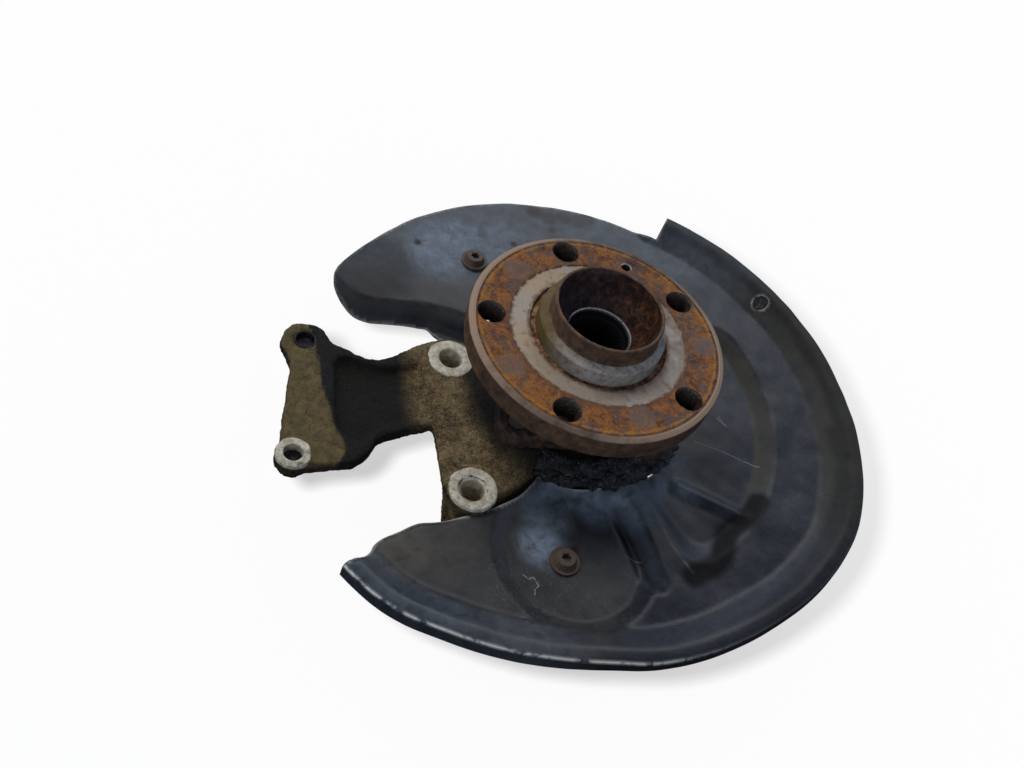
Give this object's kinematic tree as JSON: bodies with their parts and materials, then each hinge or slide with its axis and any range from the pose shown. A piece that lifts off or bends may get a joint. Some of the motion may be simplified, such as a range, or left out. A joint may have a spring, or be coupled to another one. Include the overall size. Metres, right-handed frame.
{
  "type": "wheel hub",
  "caption": "Car rear wheel hub on a rolling bearing, bolted to a cast carrier with caliper ears, an arm, rubber-bushed link eyes and a pressed dust shield.",
  "frame": {"origin": "centre of the wheel face of the hub flange, on the hub's axis", "axes": "+Z outboard along the hub's axis, away from the wheel carrier; +Y along the line of the two caliper ears; the arm and the shield's caliper opening point to -X"},
  "size_m": [0.324, 0.3088, 0.1257],
  "materials": {
    "cast_aluminium": "dirty sand-cast aluminium with machined seats",
    "rusty_steel": "turned steel with surface rust and a bright machined band",
    "bearing_steel": "ground bearing steel",
    "ring_steel": "rusty forged steel",
    "bolt_steel": "zinc-plated steel, dull",
    "shield_paint": "black painted sheet steel, scuffed and dusty",
    "screw_steel": "dark rusty steel",
    "seal_rubber": "black rubber",
    "bush_rubber": "black natural rubber",
    "bush_steel": "plain steel tube",
    "cage_plastic": "glass-filled polyamide"
  },
  "bodies": {
    "carrier": {"wheel_carrier": "cast_aluminium", "bearing_outer_ring": "ring_steel", "outboard_seal": "seal_rubber", "bearing_bolts": "bolt_steel", "dust_shield": "shield_paint", "shield_screws": "screw_steel", "upper_link_bush_sleeve": "bush_steel", "upper_link_bush_rubber": "bush_rubber", "upper_link_bush_core": "bush_steel", "spring_link_bush_sleeve": "bush_steel", "spring_link_bush_rubber": "bush_rubber", "spring_link_bush_core": "bush_steel", "track_rod_bush_sleeve": "bush_steel", "track_rod_bush_rubber": "bush_rubber", "track_rod_bush_core": "bush_steel"},
    "hub": {"wheel_hub": "rusty_steel", "bearing_inner_ring": "bearing_steel", "encoder_ring": "seal_rubber"},
    "cages": {"balls_outboard": "bearing_steel", "balls_inboard": "bearing_steel", "cage_outboard": "cage_plastic", "cage_inboard": "cage_plastic"}
  },
  "joints": [
    {"name": "hub_spin", "type": "hinge", "parent": "carrier", "child": "hub", "pos_m": [0, 0, -0.04], "axis": [0, 0, 1], "continuous": true},
    {"name": "cage_spin", "type": "hinge", "parent": "carrier", "child": "cages", "pos_m": [0, 0, -0.04], "axis": [0, 0, 1], "continuous": true}
  ],
  "couplings": [
    {"joint": "cage_spin", "follows": "hub_spin", "ratio": 0.42}
  ]
}
